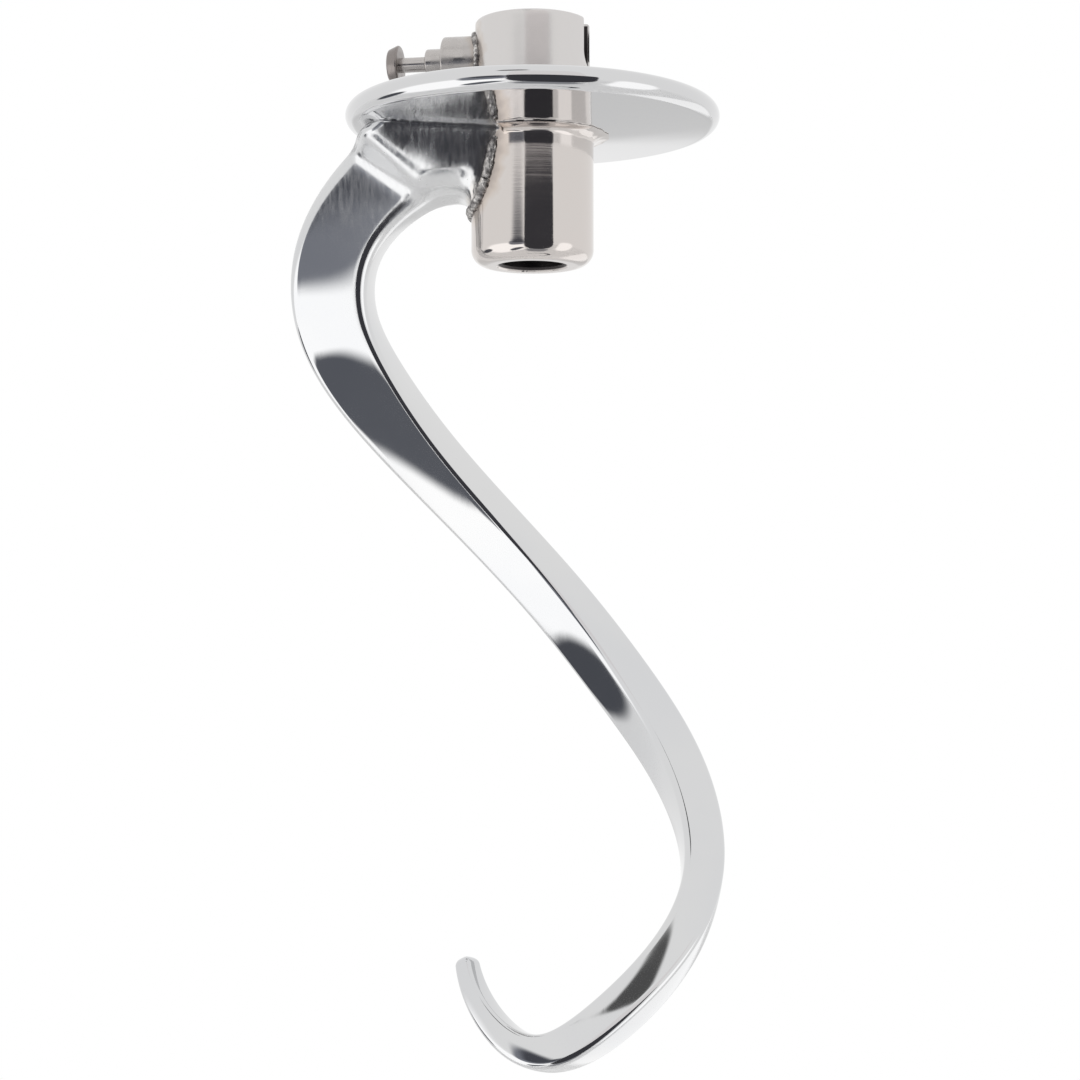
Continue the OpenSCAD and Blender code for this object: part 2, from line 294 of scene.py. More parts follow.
def spread(p):
    """The shoulder widens where it meets the disc and the hub, and its arch runs down the hub."""
    r = np.hypot(p[..., 0], p[..., 1])
    below = np.maximum(0, underside(r) - p[..., 2])
    off = np.maximum(0, r - HUB_R)
    wedge = HUB_SPREAD + HUB_TURN * np.maximum(0, HUB_SIDE - p[..., 0]) - HUB_TILT * below
    at_hub = np.maximum(0, wedge) * step(p[..., 0], p[..., 2])
    wider = DISC_SPREAD * np.exp(-below / DISC_FADE) + at_hub
    lower = ARCH_DROP * np.exp(-off / ARCH_FADE) * np.minimum(1, below / ARCH_FULL)**3
    q = p.copy()
    upper = p[..., 2] > SPREAD_END
    q[..., 1] *= np.where(upper, 1 + wider / SPREAD_HALF, 1)
    q[..., 2] -= np.where(upper, lower, 0)
    return q


def arm_points(t, s, forward=0.0, shrink=1.0):
    """Points of the arm for arrays of spline parameters t and matching section rows s."""
    row, change = spline(ARM, t)
    along = unit(change[:, :3])
    zero = np.array([math.sin(FACE_TURN), -math.cos(FACE_TURN), 0])
    n0 = unit(zero - (along @ zero)[:, None] * along)
    b0 = np.cross(along, n0)
    turn = np.radians(row[:, 5])[:, None]
    n1 = n0 * np.cos(turn) + b0 * np.sin(turn)
    n2 = b0 * np.cos(turn) - n0 * np.sin(turn)
    round_top = SHOULDER_EDGE * np.exp(-(t / SHOULDER_ROUND)**2)
    edge = (ARM_EDGE + round_top) * shrink * np.minimum(1, row[:, 4] / 6)
    half_w, half_h = row[:, 3] * shrink / 2 - edge, row[:, 4] * shrink / 2 - edge
    face = s[:, 6]
    x = (s[:, 0] * (1 - face) + s[:, 4] * face) * half_w + edge * s[:, 2]
    y = (s[:, 1] * (1 - face) + s[:, 5] * face) * half_h + edge * s[:, 3]
    full_w, full_h = half_w + edge + 1e-6, half_h + edge + 1e-6
    crown = CROWN * shrink
    x, y = (x * (1 + crown * (0.5 - (y / full_h)**2) / full_w),
            y * (1 + crown * (0.5 - (x / full_w)**2) / full_h))
    centre = row[:, :3] + (forward * row[:, 4] / 2)[:, None] * along
    return spread(centre + x[:, None] * n2 + y[:, None] * n1)


def junction(s, radius):
    """For each section row, the parameter at which its long line leaves the given radius."""
    t = np.linspace(0, 2.2, 221)
    start = np.zeros(len(s))
    for k in range(len(s)):
        p = arm_points(t, np.repeat(s[k:k + 1], len(t), 0), np.zeros(len(t)), np.ones(len(t)))
        inside = np.flatnonzero(np.hypot(p[:, 0], p[:, 1]) < radius)
        start[k] = t[inside[-1]] if len(inside) else 0
    return start


def hook_arm(rings=620, tip_rings=14):
    """The solid spiral bar: a rounded rectangle carried along the spline. Each long line starts
    where it leaves the hub's wall, and the far end closes with a round tip."""
    s = section(9, 14)
    cols = len(s)
    start = junction(s, HUB_R - 0.9)
    u = np.linspace(0, 1, rings)[:, None]
    t = start * (1 - u) + ARM_END * u
    a = np.radians(np.linspace(0, 88, tip_rings + 1)[1:])
    t = np.vstack([t, np.full((tip_rings, cols), float(ARM_END))])
    forward = np.concatenate([np.zeros(rings), np.sin(a)])
    shrink = np.concatenate([np.ones(rings), np.cos(a)])
    rows = rings + tip_rings
    points = arm_points(t.ravel(), np.tile(s, (rows, 1)), np.repeat(forward, cols),
                        np.repeat(shrink, cols))
    first, last = points[:cols].mean(0), points[-cols:].mean(0)
    first *= [(HUB_R - 0.9) / np.hypot(first[0], first[1])] * 2 + [1]
    faces = grid_faces(rows, cols) + fan(rows * cols, range(cols))
    faces += fan(rows * cols + 1, range((rows - 1) * cols, rows * cols))
    return make_piece("hook_arm_polished", np.vstack([points, first, last]), faces, "hook",
                      "hook_arm", 50)


# ---------------------------------------------------------------- disc, sleeve and welds


def guard_disc():
    """Disc with a full-round rim: the underside rises slightly from the hub to the rim."""
    inner = COLLAR_R + 0.05
    mid = DISC_R - RIM_R
    profile = np.vstack([
        line((inner, 0), (HUB_R, 0), 3),
        line((HUB_R, 0), (mid, DISH), 60),
        arc(mid, DISH + RIM_R, RIM_R, -90, 90, 49),
        line((mid, DISC_TOP), (inner, DISC_TOP), 40)[1:],
        line((inner, DISC_TOP), (inner, 0), 4)])
    points, faces = closed_lathe(profile, 512)
    return make_piece("guard_disc_polished", points, faces, "hook", "guard_disc")


def hub_sleeve():
    """Turned sleeve: hub, collar and bore in one profile carried round the axis. Where the
    cross-pin slot is, each ring stops at the slot's cheeks, which are skinned across the wall."""
    a = np.linspace(0, math.pi / 2, 14)[1:]
    floor_z = SLOT_FLOOR + SLOT_HALF * (1 - np.cos(a))
    wall_z = np.concatenate([[SLOT_FLOOR], floor_z, np.linspace(floor_z[-1], COLLAR_TOP - 0.8, 14)[1:]])
    lower = np.vstack([
        line((BORE_R + 0.8, HUB_BOTTOM), (HUB_R - HUB_EDGE, HUB_BOTTOM), 6),
        arc(HUB_R - HUB_EDGE, HUB_BOTTOM + HUB_EDGE, HUB_EDGE, -90, 0, 25)[:-1],
        line((HUB_R, HUB_BOTTOM + HUB_EDGE), (HUB_R, 0), 30),
        line((HUB_R, 0), (COLLAR_R, 0), 3),
        line((COLLAR_R, 0), (COLLAR_R, SLOT_FLOOR), 12)])
    outer = np.stack([np.full_like(wall_z, COLLAR_R), wall_z], -1)
    top = np.vstack([
        arc(COLLAR_R - 0.7, COLLAR_TOP - 0.7, 0.7, 0, 90, 9)[1:],
        line((COLLAR_R - 0.7, COLLAR_TOP), (RELIEF_R + 0.8, COLLAR_TOP), 8)[1:],
        [(RELIEF_R + 0.8, COLLAR_TOP)]])
    inner = np.stack([np.full_like(wall_z, RELIEF_R), wall_z], -1)[::-1]
    bore = np.vstack([
        line((RELIEF_R, SLOT_FLOOR), (RELIEF_R, SEAT_TOP), 3)[1:],
        line((RELIEF_R, SEAT_TOP), (BORE_R, SEAT_TOP), 2),
        line((BORE_R, SEAT_TOP), (BORE_R, HUB_BOTTOM + 0.8), 30),
        line((BORE_R, HUB_BOTTOM + 0.8), (BORE_R + 0.8, HUB_BOTTOM), 3)])
    profile = np.vstack([lower, outer, top, inner, bore])
    r, z = profile[:, :1], profile[:, 1:]
    drop = np.clip(SLOT_FLOOR + SLOT_HALF - z, 0, SLOT_HALF)
    half_width = np.where(z > SLOT_FLOOR, np.sqrt(SLOT_HALF**2 - drop**2), 0)
    half = np.arcsin(half_width / r)
    cols = 385
    turn = half + 2 * (math.pi - half) * np.linspace(0, 1, cols)
    grid = np.stack([r * np.cos(turn), r * np.sin(turn), z + 0 * turn], -1)
    faces = grid_faces(len(profile), cols, wrap_rows=True, wrap_cols=False)
    start, end = len(lower), len(lower) + len(outer) + len(top) + len(inner) - 1
    for side in (0, cols - 1):
        low, high = start, end
        while high - low > 1:
            corner = list(dict.fromkeys([low, low + 1, high - 1, high]))
            faces.append([k * cols + side for k in corner])
            low, high = low + 1, high - 1
    return make_piece("hub_sleeve_turned", grid.reshape(-1, 3), faces, "hook",
                      "hub_sleeve", 25)


def ripple(s, pitch, depth):
    """Weld ripple: one side of every wave is steeper, as in a row of laid-over scales."""
    phase = s / pitch
    return depth * (1 - np.abs(np.mod(phase, 1) * 2 - 1)**1.6) + depth * 0.4 * np.sin(phase * 1.7)


def hub_weld():
    """Ground fillet round the hub under the disc, open where the shoulder stands: a concave
    arc between hub and disc, carried from one side of the shoulder to the other."""
    a = np.radians(np.linspace(0, 90, 13))
    out = HUB_R + 3 * (1 - np.sin(a))
    down = 1.6 * (1 - np.cos(a))
    inner = [(HUB_R - 0.4, -1.6), (HUB_R - 0.4, 0.15), (HUB_R + 3, 0.15)]
    profile = np.vstack([np.stack([out, -down], -1), inner])
    turn = np.radians(np.linspace(-112, 112, 240))
    wave = 1 + 0.04 * np.sin(9 * turn) + 0.03 * np.sin(23 * turn + 1)
    ends = smooth(0, 0.12, math.radians(112) - np.abs(turn)) * 0.9 + 0.1
    r = HUB_R + (profile[:, 0] - HUB_R)[None] * (wave * ends)[:, None]
    z = profile[:, 1][None] * (wave * ends)[:, None]
    grid = np.stack([r * np.cos(turn)[:, None], r * np.sin(turn)[:, None], z], -1)
    rows, cols = grid.shape[:2]
    faces = grid_faces(rows, cols)
    faces += [list(range(cols)), list(range((rows - 1) * cols, rows * cols))]
    return make_piece("hub_weld_ground", grid.reshape(-1, 3), faces, "hook", "hub_weld", 60)


def collar_weld():
    """Fillet weld round the collar on the disc, with its ripple left on."""
    a = np.radians(np.linspace(0, 90, 13))
    turn = np.linspace(0, 2 * math.pi, 720, endpoint=False)
    bead = 1 + ripple(turn * COLLAR_R, 1.1, 0.10)
    out = COLLAR_R + 1.7 * (1 - np.sin(a))[None] * bead[:, None]
    up = DISC_TOP + 1.4 * (1 - np.cos(a))[None] * bead[:, None]
    back = np.full((len(turn), 1), COLLAR_R - 0.3)
    low = np.full((len(turn), 1), DISC_TOP - 0.2)
    r = np.hstack([out, back, back, out[:, :1]])
    z = np.hstack([up, up[:, -1:], low, low])
    grid = np.stack([r * np.cos(turn)[:, None], r * np.sin(turn)[:, None], z], -1)
    rows, cols = grid.shape[:2]
    faces = grid_faces(rows, cols, wrap_rows=True)
    return make_piece("collar_weld_rippled", grid.reshape(-1, 3), faces, "hook",
                      "collar_weld", 60)


def arm_weld_path():
    """Line where the shoulder meets the hub, from the front under the disc to the back."""
    s = section(9, 14)
    p = arm_points(junction(s, HUB_R), s, np.zeros(len(s)), np.ones(len(s)))
    angle = np.arctan2(p[:, 1], -p[:, 0])
    lowest = np.where(p[:, 2] < -0.8)[0]
    order = lowest[np.argsort(angle[lowest])]
    angle, z = angle[order], p[order, 2]
    turn = np.linspace(angle[0], angle[-1], 260)
    height = np.interp(turn, angle, z)
    kernel = np.hanning(25)
    height = np.convolve(np.pad(height, 12, mode="edge"), kernel / kernel.sum(), mode="valid")
    return np.stack([-HUB_R * np.cos(turn), HUB_R * np.sin(turn), height], -1)


def arm_weld():
    """Rippled bead along the foot of the shoulder on the hub."""
    path = arm_weld_path()
    length = np.concatenate([[0], np.cumsum(np.linalg.norm(np.diff(path, axis=0), axis=1))])
    fade = smooth(0, 3, length) * smooth(0, 3, length[-1] - length)
    radius = (0.9 + ripple(length, 1.15, 0.16)) * (0.5 + 0.5 * fade)
    side = np.linspace(0, 2 * math.pi, 20, endpoint=False)
    lumps = 1 + 0.07 * np.sin(3 * side + length[:, None] * 2.1) * np.sin(length[:, None] * 0.9)
    points, faces = tube(path, radius[:, None] * lumps, 20)
    return make_piece("arm_weld_rippled", points, faces, "hook", "arm_weld", 60)


def plunger_weld():
    """Rippled bead round the boss along the saddle where it meets the collar."""
    a = np.linspace(0, 2 * math.pi, 420, endpoint=False)
    bead_r = BOSS_R + 0.12
    y = bead_r * np.sin(a)
    path = np.stack([-np.sqrt(COLLAR_R**2 - y * y) - 0.15, y, PIN_Z + bead_r * np.cos(a)], -1)
    radius = 0.55 + ripple(a * bead_r, 0.95, 0.14)
    points, faces = tube(path, radius, 16, closed=True)
    return make_piece("plunger_weld_rippled", points, faces, "hook", "plunger_weld", 60)


# ---------------------------------------------------------------- plunger

# Outlines are (radius, distance from the bore axis) and are carried round the plunger's axis.
CAVITY_R = 3.4
BUSH_R = 2.95
BUSH_IN = 16.0
BUSH_WALL = 1.0
CUP_R = 2.5
ROD_R = 1.5
NOSE_R = 2.5
ROD_GAP = 0.05
WASHER_IN = 11.0
DIMPLE_R = 1.0


def plunger_body():
    """Boss: a tube with a small turned chamfer, its inner end sunk in the collar's wall."""
    inner = COLLAR_R - 1.2
    profile = np.vstack([
        line((CAVITY_R, inner), (BOSS_R, inner), 4),
        line((BOSS_R, inner), (BOSS_R, BOSS_END - 0.35), 24),
        arc(BOSS_R - 0.35, BOSS_END - 0.35, 0.35, 0, 90, 7),
        line((BOSS_R - 0.35, BOSS_END), (CAVITY_R, BOSS_END), 6)[1:],
        line((CAVITY_R, BOSS_END), (CAVITY_R, inner), 16)])
    points, faces = closed_lathe(profile, 192, "x")
    return make_piece("plunger_body_turned", points, faces, "hook", "plunger_body")


def plunger_bushing():
    """Bush pressed into the boss: a stepped cup with the rod's guide hole in its end wall."""
    guide = ROD_R + ROD_GAP
    profile = np.vstack([
        line((CUP_R, BUSH_IN), (CAVITY_R - 0.005, BUSH_IN), 3),
        line((CAVITY_R - 0.005, BUSH_IN), (CAVITY_R - 0.005, BOSS_END), 5),
        line((CAVITY_R - 0.005, BOSS_END), (BUSH_R, BOSS_END), 3),
        line((BUSH_R, BOSS_END), (BUSH_R, BUSH_END - 0.3), 12),
        arc(BUSH_R - 0.3, BUSH_END - 0.3, 0.3, 0, 90, 6),
        line((BUSH_R - 0.3, BUSH_END), (guide, BUSH_END), 4)[1:],
        line((guide, BUSH_END), (guide, BUSH_END - BUSH_WALL), 4),
        line((guide, BUSH_END - BUSH_WALL), (CUP_R, BUSH_END - BUSH_WALL), 3),
        line((CUP_R, BUSH_END - BUSH_WALL), (CUP_R, BUSH_IN), 8)])
    points, faces = closed_lathe(profile, 160, "x")
    return make_piece("plunger_bushing_turned", points, faces, "hook", "plunger_bushing")


def plunger_pin():
    """Nose and rod in one: a chamfered nose, a shoulder for the washer and the long rod."""
    profile = np.vstack([
        [(0, NOSE_TIP)],
        line((0.4, NOSE_TIP), (NOSE_R - 0.8, NOSE_TIP), 4),
        line((NOSE_R - 0.8, NOSE_TIP), (NOSE_R, NOSE_TIP + 0.8), 4),
        line((NOSE_R, NOSE_TIP + 0.8), (NOSE_R, WASHER_IN), 12),
        line((NOSE_R, WASHER_IN), (ROD_R, WASHER_IN), 4),
        line((ROD_R, WASHER_IN), (ROD_R, HEAD_IN + 0.3), 40),
        [(ROD_R, HEAD_IN + 0.3), (0, HEAD_IN + 0.3)]])
    points, faces = capped_lathe(profile, 128, "x")
    return make_piece("plunger_pin_turned", points, faces, "plunger", "plunger_pin")


def pull_head():
    """Tapered knob with rounded rims and a dimple where the rod's end is riveted over."""
    outer_r = HEAD_R - 0.6
    profile = np.vstack([
        [(0, HEAD_IN)],
        line((0.3, HEAD_IN), (HEAD_R - 0.4, HEAD_IN), 8),
        arc(HEAD_R - 0.4, HEAD_IN + 0.4, 0.4, -90, 10, 9),
        arc(outer_r - 0.6, HEAD_OUT - 0.6, 0.6, 10, 90, 9),
        line((outer_r - 0.6, HEAD_OUT), (DIMPLE_R, HEAD_OUT), 6)[1:],
        line((DIMPLE_R, HEAD_OUT), (DIMPLE_R * 0.7, HEAD_OUT - 0.35), 4),
        line((DIMPLE_R * 0.7, HEAD_OUT - 0.35), (0.2, HEAD_OUT - 0.4), 3),
        [(0, HEAD_OUT - 0.4)]])
    points, faces = capped_lathe(profile, 160, "x")
    return make_piece("pull_head_turned", points, faces, "plunger", "pull_head")


# ---------------------------------------------------------------- distance to the welds


def weld_lines():
    """Points along the welds that aren't plain rings: boss and collar, shoulder and hub."""
    a = np.linspace(0, 2 * math.pi, 48, endpoint=False)
    y = BOSS_R * np.sin(a)
    boss = np.stack([-np.sqrt(COLLAR_R**2 - y * y), y, PIN_Z + BOSS_R * np.cos(a)], -1)
    return np.vstack([boss, arm_weld_path()[::4]])


def weld_distance(points):
    """Distance in millimetres from each point to the nearest weld: to the ring round the collar
    by its formula, to the others by their nearest sampled point."""
    gap = np.hypot(np.hypot(points[:, 0], points[:, 1]) - COLLAR_R, points[:, 2] - DISC_TOP)
    for p in WELD_LINES:
        gap = np.minimum(gap, np.linalg.norm(points - p, axis=1))
    return gap


WELD_LINES = weld_lines()


# ---------------------------------------------------------------- shader node helpers


def add(tree, kind, sockets=None, **settings):
    """A node with its settings made and its inputs set or linked."""
    node = tree.nodes.new(kind)
    for key, value in settings.items():
        setattr(node, key, value)
    for key, value in (sockets or {}).items():
        if isinstance(value, bpy.types.NodeSocket):
            tree.links.new(value, node.inputs[key])
        else:
            node.inputs[key].default_value = value
    return node


def new_group(name, inputs, outputs):
    """An empty node group with named inputs (name, type, default) and outputs (name, type)."""
    tree = bpy.data.node_groups.new(name, "ShaderNodeTree")
    for label, kind, default in inputs:
        socket = tree.interface.new_socket(name=label, in_out="INPUT", socket_type=kind)
        socket.default_value = default
    for label, kind in outputs:
        tree.interface.new_socket(name=label, in_out="OUTPUT", socket_type=kind)
    return tree, tree.nodes.new("NodeGroupInput"), tree.nodes.new("NodeGroupOutput")


def object_place(tree):
    """The point's place in the object's own coordinates, in metres."""
    return add(tree, "ShaderNodeTexCoord").outputs["Object"]


def math_node(tree, operation, a, b=0.0):
    """One math operation on two values."""
    node = add(tree, "ShaderNodeMath", {0: a, 1: b}, operation=operation)
    return node.outputs[0]


def remap(tree, value, from_low, from_high, to_low, to_high, how="SMOOTHSTEP"):
    """A value moved from one range to another, held at its ends."""
    node = add(tree, "ShaderNodeMapRange", {"Value": value, "From Min": from_low, "From Max": from_high,
                                            "To Min": to_low, "To Max": to_high}, interpolation_type=how)
    return node.outputs["Result"]


def noise(tree, place, scale, detail=3.0, rough=0.55):
    """Fractal noise from 0 to 1 at a scale per metre."""
    node = add(tree, "ShaderNodeTexNoise", {"Vector": place, "Scale": scale, "Detail": detail,
                                            "Roughness": rough})
    return node.outputs["Fac"]


def stretched(tree, place, scale):
    """The place scaled by a vector, so that noise draws out along an axis."""
    return add(tree, "ShaderNodeMapping", {"Vector": place, "Scale": scale}).outputs["Vector"]


FLOAT, VECTOR, COLOR = "NodeSocketFloat", "NodeSocketVector", "NodeSocketColor"


def build_hand_polish():
    """Hand polishing: hazy roughness, slow waves of the wheel and fine stray scratches."""
    tree, inside, out = new_group("hand_polish", [
        ("Haze Low", FLOAT, 0.03), ("Haze High", FLOAT, 0.1), ("Scratch Stretch", VECTOR, (1, 1, 1))],
        [("Roughness", FLOAT), ("Wave", FLOAT), ("Scratch", FLOAT)])
    place = object_place(tree)
    haze = noise(tree, place, 55.0, 5.0, 0.6)
    rough = add(tree, "ShaderNodeMapRange", {
        "Value": haze, "From Min": 0.35, "From Max": 0.7, "To Min": inside.outputs["Haze Low"],
        "To Max": inside.outputs["Haze High"]})
    tree.links.new(rough.outputs["Result"], out.inputs["Roughness"])
    tree.links.new(noise(tree, place, 70.0, 1.0), out.inputs["Wave"])
    lines = noise(tree, stretched(tree, place, inside.outputs["Scratch Stretch"]), 1.0, 2.0)
    where = remap(tree, noise(tree, place, 120.0, 2.0), 0.5, 0.62, 0.15, 1)
    tree.links.new(math_node(tree, "MULTIPLY", lines, where), out.inputs["Scratch"])
    return tree


def build_lathe_lines():
    """Turning marks: noise in one coordinate only, the distance along the turned axis."""
    tree, inside, out = new_group("lathe_lines", [("Along", FLOAT, 0.0), ("Lines per mm", FLOAT, 4.0)],
                                  [("Height", FLOAT)])
    metre = math_node(tree, "MULTIPLY", inside.outputs["Lines per mm"], 1000.0)
    at = math_node(tree, "MULTIPLY", inside.outputs["Along"], metre)
    place = add(tree, "ShaderNodeCombineXYZ", {"X": at}).outputs["Vector"]
    tree.links.new(noise(tree, place, 1.0, 3.0, 0.7), out.inputs["Height"])
    return tree


def build_weld_shade_and_heat():
    """Painted shade beside a weld, with a faint warm heat tint: darkest grey-brown at the weld, then
    straw, then bare steel further out.
    """
    tree, inside, out = new_group("weld_shade_and_heat", [("Reach mm", FLOAT, 3.0), ("Strength", FLOAT, 1.0)],
                                  [("Color", COLOR), ("Near", FLOAT)])
    gap = add(tree, "ShaderNodeAttribute", attribute_name="weld_gap").outputs["Fac"]
    place = object_place(tree)
    uneven = remap(tree, noise(tree, place, 260.0, 2.0), 0.3, 0.7, 0.75, 1.3, "LINEAR")
    far = math_node(tree, "DIVIDE", math_node(tree, "MULTIPLY", gap, uneven), inside.outputs["Reach mm"])
    # the ramp darkens towards the weld: painted shade where the pieces meet, with a faint warm tint
    ramp = add(tree, "ShaderNodeValToRGB", {"Fac": far})
    tones = [(0.0, (0.40, 0.38, 0.37)), (0.3, (0.66, 0.62, 0.59)), (0.6, (0.92, 0.87, 0.82)),
             (1.0, (1.0, 1.0, 1.0))]
    while len(ramp.color_ramp.elements) < len(tones):
        ramp.color_ramp.elements.new(0.5)
    for element, (position, tone) in zip(ramp.color_ramp.elements, tones):
        element.position = position
        element.color = (*tone, 1)
    mixed = add(tree, "ShaderNodeMix", {"Factor": inside.outputs["Strength"], "A": (1, 1, 1, 1),
                                        "B": ramp.outputs["Color"]}, data_type="RGBA")
    tree.links.new(mixed.outputs["Result"], out.inputs["Color"])
    tree.links.new(remap(tree, far, 0.0, 0.6, 1, 0), out.inputs["Near"])
    return tree


# ---------------------------------------------------------------- materials


def new_steel(name):
    """A material with one metallic Principled shader; returns its tree and shader."""
    material = bpy.data.materials.new(name)
    material.use_nodes = True
    tree = material.node_tree
    shader = tree.nodes["Principled BSDF"]
    shader.inputs["Metallic"].default_value = 1
    return material, tree, shader


def use_group(tree, group, sockets=None):
    """Places a node group and sets its inputs."""
    node = add(tree, "ShaderNodeGroup", node_tree=group)
    for key, value in (sockets or {}).items():
        if isinstance(value, bpy.types.NodeSocket):
            tree.links.new(value, node.inputs[key])
        else:
            node.inputs[key].default_value = value
    return node.outputs


def multiply_color(tree, a, b):
    """The product of two colours."""
    mix = add(tree, "ShaderNodeMix", {"Factor": 1.0, "A": a, "B": b}, data_type="RGBA",
              blend_type="MULTIPLY")
    return mix.outputs["Result"]


def bumps(tree, layers):
    """Bump nodes in a row: each layer is a height and its depth in metres."""
    normal = None
    for height, depth in layers:
        sockets = {"Height": height, "Distance": depth, "Strength": 1.0}
        if normal is not None:
            sockets["Normal"] = normal
        normal = add(tree, "ShaderNodeBump", sockets).outputs["Normal"]
    return normal


def polished_arm_steel(polish, shade_and_heat):
    """Mirror polish of the spiral arm, with long stray scratches, a dull zone by the weld that is also
    darkened with painted shade, and the softer, streaky shine that the belt left on the shoulder."""
    material, tree, shader = new_steel("arm mirror polish")
    fine = use_group(tree, polish, {"Haze Low": 0.025, "Haze High": 0.085,
                                    "Scratch Stretch": (900, 260, 260)})
    warm = use_group(tree, shade_and_heat, {"Reach mm": 2.6, "Strength": 0.8})
    place = object_place(tree)
    tone = remap(tree, noise(tree, place, 30.0, 3.0), 0.3, 0.7, 0.0, 1.0)
    steel = add(tree, "ShaderNodeMix", {"Factor": tone, "A": (0.645, 0.65, 0.66, 1),
                                        "B": (0.68, 0.68, 0.68, 1)}, data_type="RGBA")
    # colour darkened beside the shoulder weld: painted shade where arm and hub meet, with a faint heat
    # tint
    color = multiply_color(tree, steel.outputs["Result"], warm["Color"])
    height = add(tree, "ShaderNodeSeparateXYZ", {"Vector": place}).outputs["Z"]
    worked = remap(tree, height, WORKED_FROM * MM, WORKED_FULL * MM, 0.0, 1.0)
    belt = noise(tree, stretched(tree, place, (1300, 1300, 170)), 1.0, 2.0)
    streaks = math_node(tree, "MULTIPLY", worked, belt)
    dull = math_node(tree, "ADD", math_node(tree, "MULTIPLY", warm["Near"], 0.25),
                     math_node(tree, "MULTIPLY", streaks, 0.32))
    rough = math_node(tree, "ADD", fine["Roughness"], dull)
    tree.links.new(color, shader.inputs["Base Color"])
    tree.links.new(rough, shader.inputs["Roughness"])
    tree.links.new(bumps(tree, [(fine["Wave"], 0.00004), (fine["Scratch"], 0.000002),
                                (streaks, 0.000012)]), shader.inputs["Normal"])
    return material


def polished_disc_steel(polish, lathe, shade_and_heat):
    """Mirror polish of the disc, with faint rings from the wheel."""
    material, tree, shader = new_steel("disc mirror polish")
    fine = use_group(tree, polish, {"Haze Low": 0.02, "Haze High": 0.07,
                                    "Scratch Stretch": (500, 500, 500)})
    flat = add(tree, "ShaderNodeVectorMath", {0: object_place(tree), 1: (1, 1, 0)}, operation="MULTIPLY")
    radius = add(tree, "ShaderNodeVectorMath", {0: flat.outputs[0]}, operation="LENGTH").outputs["Value"]
    rings = use_group(tree, lathe, {"Along": radius, "Lines per mm": 1.6})
    warm = use_group(tree, shade_and_heat, {"Reach mm": 2.2, "Strength": 0.7})
    # colour darkened beside the collar weld: painted shade where collar and disc meet, with a faint heat
    # tint
    color = multiply_color(tree, warm["Color"], (0.655, 0.655, 0.66, 1))
    tree.links.new(color, shader.inputs["Base Color"])
    tree.links.new(fine["Roughness"], shader.inputs["Roughness"])
    tree.links.new(bumps(tree, [(fine["Wave"], 0.00003), (rings["Height"], 0.0000015)]),
                   shader.inputs["Normal"])
    return material


def turned_sleeve_steel(polish, lathe, shade_and_heat):
    """Turned sleeve with painted shade and a faint warm heat tint beside the welds: bright hub below,
    satin collar above.
    """
    material, tree, shader = new_steel("sleeve turned steel")
    fine = use_group(tree, polish, {"Haze Low": 0.04, "Haze High": 0.1,
                                    "Scratch Stretch": (300, 300, 2500)})
    height = add(tree, "ShaderNodeSeparateXYZ", {"Vector": object_place(tree)}).outputs["Z"]
    lines = use_group(tree, lathe, {"Along": height, "Lines per mm": 5.0})
    warm = use_group(tree, shade_and_heat, {"Reach mm": 4.5, "Strength": 0.95})
    satin = remap(tree, height, -0.001, 0.006, 0.0, 1.0)
    tint = add(tree, "ShaderNodeMix", {"Factor": satin, "A": (0.64, 0.60, 0.575, 1),
                                       "B": (0.64, 0.62, 0.61, 1)}, data_type="RGBA")
    # colour darkened beside the welds: painted shade where boss, disc and shoulder meet the sleeve, with a
    # faint heat tint
    bare = multiply_color(tree, tint.outputs["Result"], warm["Color"])
    flat = add(tree, "ShaderNodeVectorMath", {0: object_place(tree), 1: (1, 1, 0)}, operation="MULTIPLY")
    radius = add(tree, "ShaderNodeVectorMath", {0: flat.outputs[0]}, operation="LENGTH").outputs["Value"]
    # nearly black and rougher inside the bore and on the slot's cheeks
    in_bore = remap(tree, radius, (RELIEF_R + 0.1) * MM, (RELIEF_R + 0.3) * MM, 1, 0)
    in_wall = remap(tree, radius, (COLLAR_R - 0.5) * MM, (COLLAR_R - 0.2) * MM, 1, 0)
    slot_low = remap(tree, height, (SLOT_FLOOR - 0.2) * MM, SLOT_FLOOR * MM, 0, 1)
    slot_high = remap(tree, height, (COLLAR_TOP - 0.6) * MM, (COLLAR_TOP - 0.3) * MM, 1, 0)
    in_slot = math_node(tree, "MULTIPLY", in_wall, math_node(tree, "MULTIPLY", slot_low, slot_high))
    dark_inside = math_node(tree, "MAXIMUM", in_bore, in_slot)
    dull = add(tree, "ShaderNodeMix", {"Factor": dark_inside, "A": bare, "B": (0.05, 0.045, 0.045, 1)},
               data_type="RGBA")
    color = dull.outputs["Result"]
    rough = math_node(tree, "ADD", fine["Roughness"], math_node(tree, "MULTIPLY", satin, 0.12))
    rough = math_node(tree, "ADD", rough, math_node(tree, "MULTIPLY", dark_inside, 0.35))
    tree.links.new(color, shader.inputs["Base Color"])
    tree.links.new(rough, shader.inputs["Roughness"])
    tree.links.new(bumps(tree, [(lines["Height"], 0.000003), (fine["Scratch"], 0.000002)]),
                   shader.inputs["Normal"])
    return material


def weld_bead_steel(name, roughness_low, roughness_high, dark, light):
    """Weld metal as laid: mottled dark and light, grainy, with brighter crests."""
    material, tree, shader = new_steel(name)
    place = object_place(tree)
    spots = remap(tree, noise(tree, place, 900.0, 4.0, 0.65), 0.38, 0.62, 0, 1)
    color = add(tree, "ShaderNodeMix", {"Factor": spots, "A": (*dark, 1), "B": (*light, 1)},
                data_type="RGBA")
    grain = noise(tree, place, 2600.0, 3.0, 0.6)
    tree.links.new(color.outputs["Result"], shader.inputs["Base Color"])
    tree.links.new(remap(tree, spots, 0, 1, roughness_high, roughness_low), shader.inputs["Roughness"])
    tree.links.new(bumps(tree, [(spots, 0.00008), (grain, 0.00002)]), shader.inputs["Normal"])
    return material


